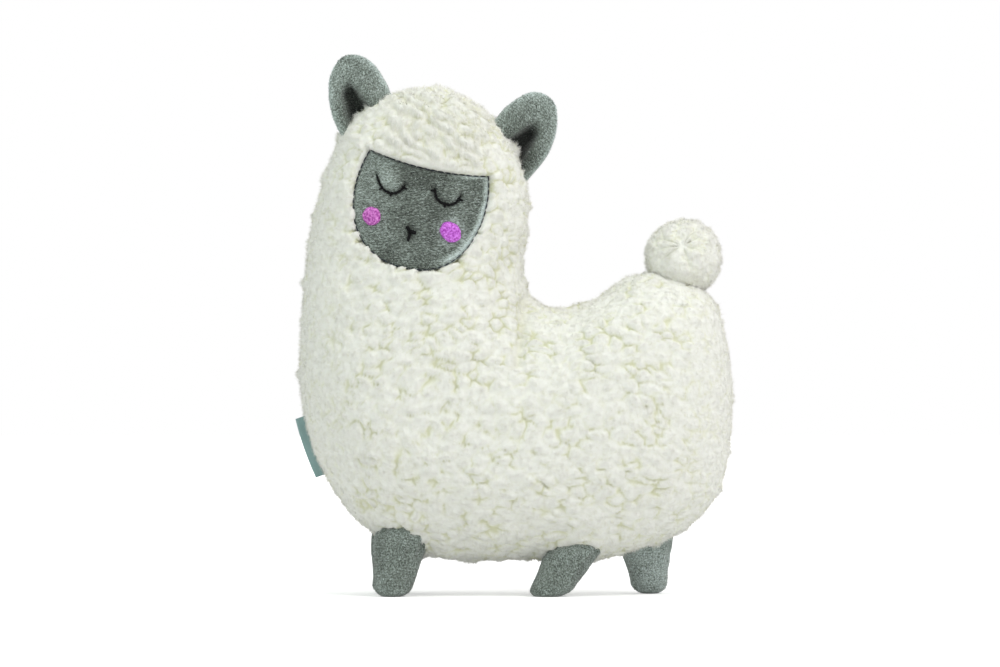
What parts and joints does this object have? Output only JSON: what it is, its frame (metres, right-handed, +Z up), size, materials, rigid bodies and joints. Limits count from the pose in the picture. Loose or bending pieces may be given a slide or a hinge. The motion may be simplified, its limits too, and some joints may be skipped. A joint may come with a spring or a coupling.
{
  "type": "plush dog toy",
  "caption": "Soft stuffed dog toy shaped like a woolly grazing animal: sherpa body, velour face, folding ears, swinging stub legs, gathered ball tail, seam label and an inner squeaker.",
  "frame": {"origin": "on the ground, under the middle of the overall box", "axes": "+X towards the rump, +Y towards the back cover (the face looks along -Y), +Z up"},
  "size_m": [0.2182, 0.0902, 0.2728],
  "materials": {
    "sherpa": "curly cream sherpa pile",
    "velour": "short grey velour pile",
    "dark_thread": "black embroidery thread",
    "pink_thread": "pink embroidery thread",
    "cream_thread": "cream sewing thread",
    "ribbon": "bare woven grey ribbon",
    "fibre": "white fibre wad",
    "squeaker_plastic": "moulded, flexible",
    "reed": "thin blade"
  },
  "bodies": {
    "body": {"front_cover": "sherpa", "back_cover": "sherpa", "outline_seam_thread": "cream_thread", "face_panel": "velour", "face_edge_stitch": "dark_thread", "eye_left": "dark_thread", "eye_right": "dark_thread", "cheek_left": "pink_thread", "cheek_right": "pink_thread", "nose_and_mouth": "dark_thread", "head_stuffing": "fibre", "torso_stuffing_front": "fibre", "torso_stuffing_back": "fibre", "squeaker_base": "squeaker_plastic", "squeaker_reed_plug": "squeaker_plastic", "squeaker_reed": "reed"},
    "ear_left": {"ear_left_outer": "velour", "ear_left_lining": "velour"},
    "ear_right": {"ear_right_outer": "velour", "ear_right_lining": "velour"},
    "leg_front_near": {"leg_front_near_cover": "velour", "leg_front_near_stuffing": "fibre"},
    "leg_front_far": {"leg_front_far_cover": "velour", "leg_front_far_stuffing": "fibre"},
    "leg_rear_near": {"leg_rear_near_cover": "velour", "leg_rear_near_stuffing": "fibre"},
    "leg_rear_far": {"leg_rear_far_cover": "velour", "leg_rear_far_stuffing": "fibre"},
    "tail": {"tail_cover": "sherpa", "tail_stuffing": "fibre", "tail_gathering_thread": "cream_thread"},
    "label": {"side_label": "ribbon"},
    "squeaker_button": {"squeaker_dome": "squeaker_plastic"}
  },
  "joints": [
    {"name": "ear_left_flop", "type": "hinge", "parent": "body", "child": "ear_left", "pos_m": [-0.0745, 0, 0.24243], "axis": [-0.8027, 0, -0.5964], "range_deg": [-40, 40], "stiffness_Nm_per_rad": 0.02},
    {"name": "ear_right_flop", "type": "hinge", "parent": "body", "child": "ear_right", "pos_m": [-0.00037, 0, 0.22278], "axis": [-0.4645, 0, 0.8856], "range_deg": [-40, 40], "stiffness_Nm_per_rad": 0.02},
    {"name": "leg_front_near_swing", "type": "hinge", "parent": "body", "child": "leg_front_near", "pos_m": [-0.05822, -0.0184, 0.02846], "axis": [0, 1, 0], "range_deg": [-20, 20], "stiffness_Nm_per_rad": 0.12},
    {"name": "leg_front_far_swing", "type": "hinge", "parent": "body", "child": "leg_front_far", "pos_m": [-0.05939, 0.0184, 0.02906], "axis": [0, 1, 0], "range_deg": [-20, 20], "stiffness_Nm_per_rad": 0.12},
    {"name": "leg_rear_near_swing", "type": "hinge", "parent": "body", "child": "leg_rear_near", "pos_m": [0.02538, -0.01841, 0.02189], "axis": [0, 1, 0], "range_deg": [-20, 20], "stiffness_Nm_per_rad": 0.12},
    {"name": "leg_rear_far_swing", "type": "hinge", "parent": "body", "child": "leg_rear_far", "pos_m": [0.06781, 0.01747, 0.02803], "axis": [0, 1, 0], "range_deg": [-20, 20], "stiffness_Nm_per_rad": 0.12},
    {"name": "tail_wag", "type": "hinge", "parent": "body", "child": "tail", "pos_m": [0.08426, 0, 0.15752], "axis": [-0.9251, 0, 0.3798], "range_deg": [-20, 20], "stiffness_Nm_per_rad": 0.03},
    {"name": "label_flap", "type": "hinge", "parent": "body", "child": "label", "pos_m": [-0.10023, 0, 0.07328], "axis": [0.3306, 0, -0.9438], "range_deg": [-40, 40], "stiffness_Nm_per_rad": 0.005},
    {"name": "squeaker_press", "type": "slide", "parent": "body", "child": "squeaker_button", "axis": [0, 1, 0], "range_m": [0, 0.006], "stiffness_N_per_m": 250}
  ]
}
